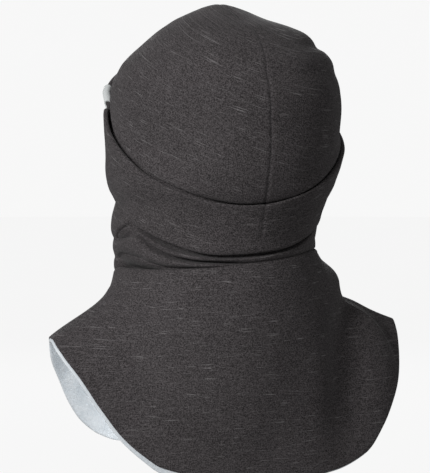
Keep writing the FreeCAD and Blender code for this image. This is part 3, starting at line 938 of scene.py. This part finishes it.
# share of its length, how far it stands out of the cloth, share of its thickness
STITCH_RINGS = [(0, -0.30, 0.5), (0.18, 0.08, 0.9), (0.5, 0.20, 1.0), (0.82, 0.08, 0.9), (1, -0.30, 0.5)]


def add_stitch(bm, a, b, out):
    """One stitch: a short thread that dips into the cloth at both ends."""
    way = (b - a) / np.linalg.norm(b - a)
    side = np.cross(way, out)
    rings = []
    for share, lift, size in STITCH_RINGS:
        middle = a + (b - a) * share + out * lift
        ring = []
        for step in range(6):
            angle = math.pi * step / 3
            rim = side * math.cos(angle) + out * math.sin(angle)
            ring.append(bm.verts.new((middle + rim * STITCH_THICK / 2 * size) * MM))
        rings.append(ring)
    for one, other in zip(rings, rings[1:]):
        bridge(bm, one + one[:1], other + other[:1])
    bm.faces.new(rings[0][::-1])
    bm.faces.new(rings[-1])


def along_path(path, out, step):
    """Evenly spaced places on a path, with the direction out of the cloth at each."""
    distance = lengths(path, 0)
    places = np.arange(step / 2, distance[-1], step)
    point = np.stack([np.interp(places, distance, path[:, i]) for i in range(3)], axis=-1)
    away = np.stack([np.interp(places, distance, out[:, i]) for i in range(3)], axis=-1)
    return point, unit(away)


def stitch_rows(name, node, rows):
    """Rows of stitches as one piece. rows holds (path, directions out of the cloth along it)."""
    bm = bmesh.new()
    for path, out in rows:
        places, away = along_path(path, out, STITCH_STEP)
        for i in range(len(places) - 1):
            way = places[i + 1] - places[i]
            way = way / np.linalg.norm(way) * STITCH_LONG
            add_stitch(bm, places[i], places[i] + way, away[i])
    keep(finish_mesh(name, bm, "thread"), node)


def make_stitches(bib_points, bib_out):
    points, _ = cap_surface()
    out = normals(points)
    rows = [(points[6:, c], out[6:, c]) for c in (HALF, 0)]  # down the back and down the front
    stitch_rows("cap_seam_stitches", "crown_seam_thread", rows)

    _, _, _, neck, _ = neck_surface()
    away = normals(neck)
    stitch_rows("under_cuff_stitches", "cap_seam_thread", [(neck[4], away[4])])
    stitch_rows("neckline_stitches", "neck_seam_thread", [(neck[-2] + 0.5 * away[-2], away[-2])])
    quarter = HALF // 2
    rows = [(bib_points[3:, c], bib_out[3:, c]) for c in (quarter, 3 * quarter)]
    stitch_rows("shoulder_stitches", "shoulder_seam_thread", rows)


BINDING_SIDES = 20  # points round its section
BINDING_HALF, BINDING_LAP = 2.6, 1.6  # half its width, and how far it is off the edge towards the cloth
BINDING_COUNT = 640  # places round the opening
BINDING_THICK = KNIT + FLEECE + 1.0


def face_path(count):
    """The cut edge of the face opening on the neck's face, and the directions out of and along the cloth."""
    angle = np.linspace(0, 2 * math.pi, count, endpoint=False)
    x, z = FACE_HALF[0] * np.cos(angle), FACE_Z + FACE_HALF[1] * np.sin(angle)
    wide, long, cx, cy = form_level(z)
    turn = np.full_like(x, 180.0)
    for _ in range(30):  # closes in on the turn where the neck's face has this x
        stands_out = neck_out(turn, z) * np.clip((z - neckline(turn)) / 5, 0, 1) ** 0.5
        sine = np.clip((x - cx) / (wide + stands_out), -1, 1)
        turn = 180 - np.degrees(np.arcsin(sine))
    edge = np.stack([x, cy - (long + stands_out) * np.sqrt(1 - sine**2), z], axis=-1)
    out = unit(np.stack([(edge[:, 0] - cx) / wide**2, (edge[:, 1] - cy) / long**2, 0 * x], axis=-1))
    return edge, out, unit(np.roll(edge, -1, axis=0) - np.roll(edge, 1, axis=0))


def make_binding():
    """Elastic folded round the cut edge: a rounded band with fine ribs."""
    edge, out, along = face_path(BINDING_COUNT)
    inward = np.cross(out, along)
    centre = edge.mean(0)
    if ((centre - edge) * inward).sum() < 0:
        inward = -inward
    middle = edge - out * (KNIT + FLEECE) / 2
    rib = 1 + 0.035 * np.cos(np.arange(BINDING_COUNT) * 2 * math.pi / 4)  # one rib in four places
    rows = []
    for step in range(BINDING_SIDES):
        a = 2 * math.pi * step / BINDING_SIDES
        across = math.copysign(abs(math.cos(a)) ** 0.6, math.cos(a)) * BINDING_HALF - BINDING_LAP
        through = math.copysign(abs(math.sin(a)) ** 0.6, math.sin(a)) * BINDING_THICK / 2
        rows.append(middle + inward * across + out * (through * rib)[:, None])
    points = np.array(rows)
    points = np.concatenate([points, points[:, :1]], axis=1)
    length = lengths(points[:1], 1)[0]
    wrap = lengths(points, 0)
    grain = np.stack([length + 0 * wrap, wrap], axis=-1)
    bm = bmesh.new()
    add_grid(bm, points, grain, wrap_rows=True)
    keep(finish_mesh("face_elastic", bm, "elastic_binding"), "face_binding")


LABEL_TURN = 131.0
LABEL_HALF = 6.5  # half its width
LABEL_RADIUS = 92.0  # the cuff's face, where the label is
LABEL_DROP = 17.0  # how far it comes down the cuff on both sides
LABEL_OFF, LABEL_THICK = 0.3, 1.0
CARE_INSIDE = -10.2  # the care label hangs free of the lining, inside its deepest crease
CARE_THICK = 0.5


def make_cuff_label():
    """Tape folded over the cuff's edge: it follows the cuff's own rows, a little outside them."""
    turn = LABEL_TURN + np.degrees(np.linspace(-LABEL_HALF, LABEL_HALF, 13) / LABEL_RADIUS)
    section = cuff_section(turn)
    tall = float(np.mean(cuff_edge(turn) - cap_seam(turn)))
    first = int(CUFF_SIDE_ROWS * (1 - LABEL_DROP / tall))
    last = CUFF_SIDE_ROWS * 2 + CUFF_FOLD_ROWS - 1 - first
    strip = section[first:last]
    out = normals(strip, closed=False)
    middle = cuff_point(turn, 1.0 - LABEL_DROP / tall, 0)[None]
    flip = ((strip - middle) * out).sum(-1)[0].mean() < 0
    out = -out if flip else out
    inner, outer = strip + LABEL_OFF * out, strip + (LABEL_OFF + LABEL_THICK) * out
    grain = grain_of(turn, LABEL_RADIUS, lengths(strip, 0))
    piece = cloth("cuff_tab", outer, inner, grain, "label_tape")
    close_edge(piece)
    keep(piece, "cuff_label")


def make_care_label():
    low, high = edges("care_label")
    turn = np.degrees(np.linspace(-1, 1, 15) * (high[0] - low[0]) / 2 / NECK_LONG)
    z = np.linspace(high[2], low[2], 14)[:, None]
    base = on_form(turn, z, CARE_INSIDE)
    grain = grain_of(turn, NECK_LONG, z + 0 * turn)
    inner = on_form(turn, z, CARE_INSIDE - CARE_THICK)
    piece = cloth("care_tab", base, inner, grain, "label_tape")
    close_edge(piece)
    keep(piece, "care_label")


# ---------------- studio

# In metres and degrees. An angle of 0 looks from the front, and 90 from the wearer's left
VIEW_ANGLE, VIEW_RISE, VIEW_AWAY = 160.0, 3.5, 1.6
VIEW_HEIGHT = 0.3548  # the height that the picture takes in
VIEW_CENTRE = Vector((0.0046, -0.0017, -0.0736))
WALL_GLOW, FLOOR_GLOW = 0.927, 0.91
SKY = 0.30
FLOOR_Z = -0.42
STUDIO = 7.0  # radius of the backdrop
# name, angle, rise, distance, size, watts
SOFTBOXES = [("key", 121, 21, 2.0, 0.6, 36.0), ("front", 342, 18, 2.2, 1.0, 22.0)]
INSIDE_WATTS, INSIDE_SIZE = 0.3, 0.045  # a small lamp under the bib, which keeps the inside legible


def place_facing_centre(thing, angle, rise, away):
    """Puts a camera or a lamp at this angle and distance from the view's centre, pointed at the centre."""
    a, e = math.radians(angle), math.radians(rise)
    way = Vector((math.sin(a) * math.cos(e), -math.cos(a) * math.cos(e), math.sin(e)))
    thing.location = VIEW_CENTRE + way * away
    thing.rotation_mode = "QUATERNION"
    thing.rotation_quaternion = (-way).to_track_quat("-Z", "Y")
    bpy.context.scene.collection.objects.link(thing)


def make_camera():
    data = bpy.data.cameras.new("camera")
    data.lens = data.sensor_width * VIEW_AWAY / VIEW_HEIGHT
    camera = bpy.data.objects.new("camera", data)
    place_facing_centre(camera, VIEW_ANGLE, VIEW_RISE, VIEW_AWAY)
    bpy.context.scene.camera = camera


def softbox(name, angle, rise, away, size, power):
    data = bpy.data.lights.new(name, "AREA")
    data.size, data.energy = size, power
    place_facing_centre(bpy.data.objects.new(name, data), angle, rise, away)


def backdrop(name, bm, location, glow):
    """An evenly lit pale surface. It is seen, and leaves the lighting of the cloth to the lamps."""
    mesh = bpy.data.meshes.new(name)
    bm.to_mesh(mesh)
    bm.free()
    n = Nodes(name)
    grit = n.noise(n.solid(), 3.0, 3.0)
    n.set(
        Base_Color=n.mix(grit, (0.018, 0.018, 0.018, 1), (0.022, 0.022, 0.022, 1)), Roughness=1.0,
        Specular_IOR_Level=0.0, Emission_Color=(1, 1, 1, 1), Emission_Strength=glow,
    )
    mesh.materials.append(n.material)
    surface = bpy.data.objects.new(name, mesh)
    surface.location = location
    surface.visible_diffuse = surface.visible_glossy = surface.visible_shadow = False
    bpy.context.scene.collection.objects.link(surface)


def make_studio():
    world = bpy.data.worlds.new("studio")
    bpy.context.scene.world = world
    world.use_nodes = True
    sky = world.node_tree.nodes["Background"]
    sky.inputs["Color"].default_value = (SKY, SKY, SKY, 1)
    sky.inputs["Strength"].default_value = 1.0
    bm = bmesh.new()
    bmesh.ops.create_circle(bm, cap_ends=True, segments=96, radius=STUDIO)
    backdrop("floor", bm, (0, 0, FLOOR_Z), FLOOR_GLOW)
    bm = bmesh.new()
    bmesh.ops.create_uvsphere(bm, u_segments=64, v_segments=32, radius=STUDIO)
    backdrop("wall", bm, (0, 0, FLOOR_Z), WALL_GLOW)
    for lamp in SOFTBOXES:
        softbox(*lamp)
    inside = bpy.data.lights.new("inside", "POINT")
    inside.energy, inside.shadow_soft_size = INSIDE_WATTS, INSIDE_SIZE
    bulb = bpy.data.objects.new("inside", inside)
    bulb.location = (0, 0, (BACK_HEM + 8) * MM)
    bulb.visible_camera = False
    bpy.context.scene.collection.objects.link(bulb)
    bpy.context.scene.view_settings.view_transform = "Standard"
    bpy.context.scene.view_settings.look = "None"


# ---------------- everything together

make_camera()
make_studio()
make_cap()
make_cuff()
make_neck()
bib_points, bib_out = make_bib()
make_stitches(bib_points, bib_out)
make_binding()
make_cuff_label()
make_care_label()
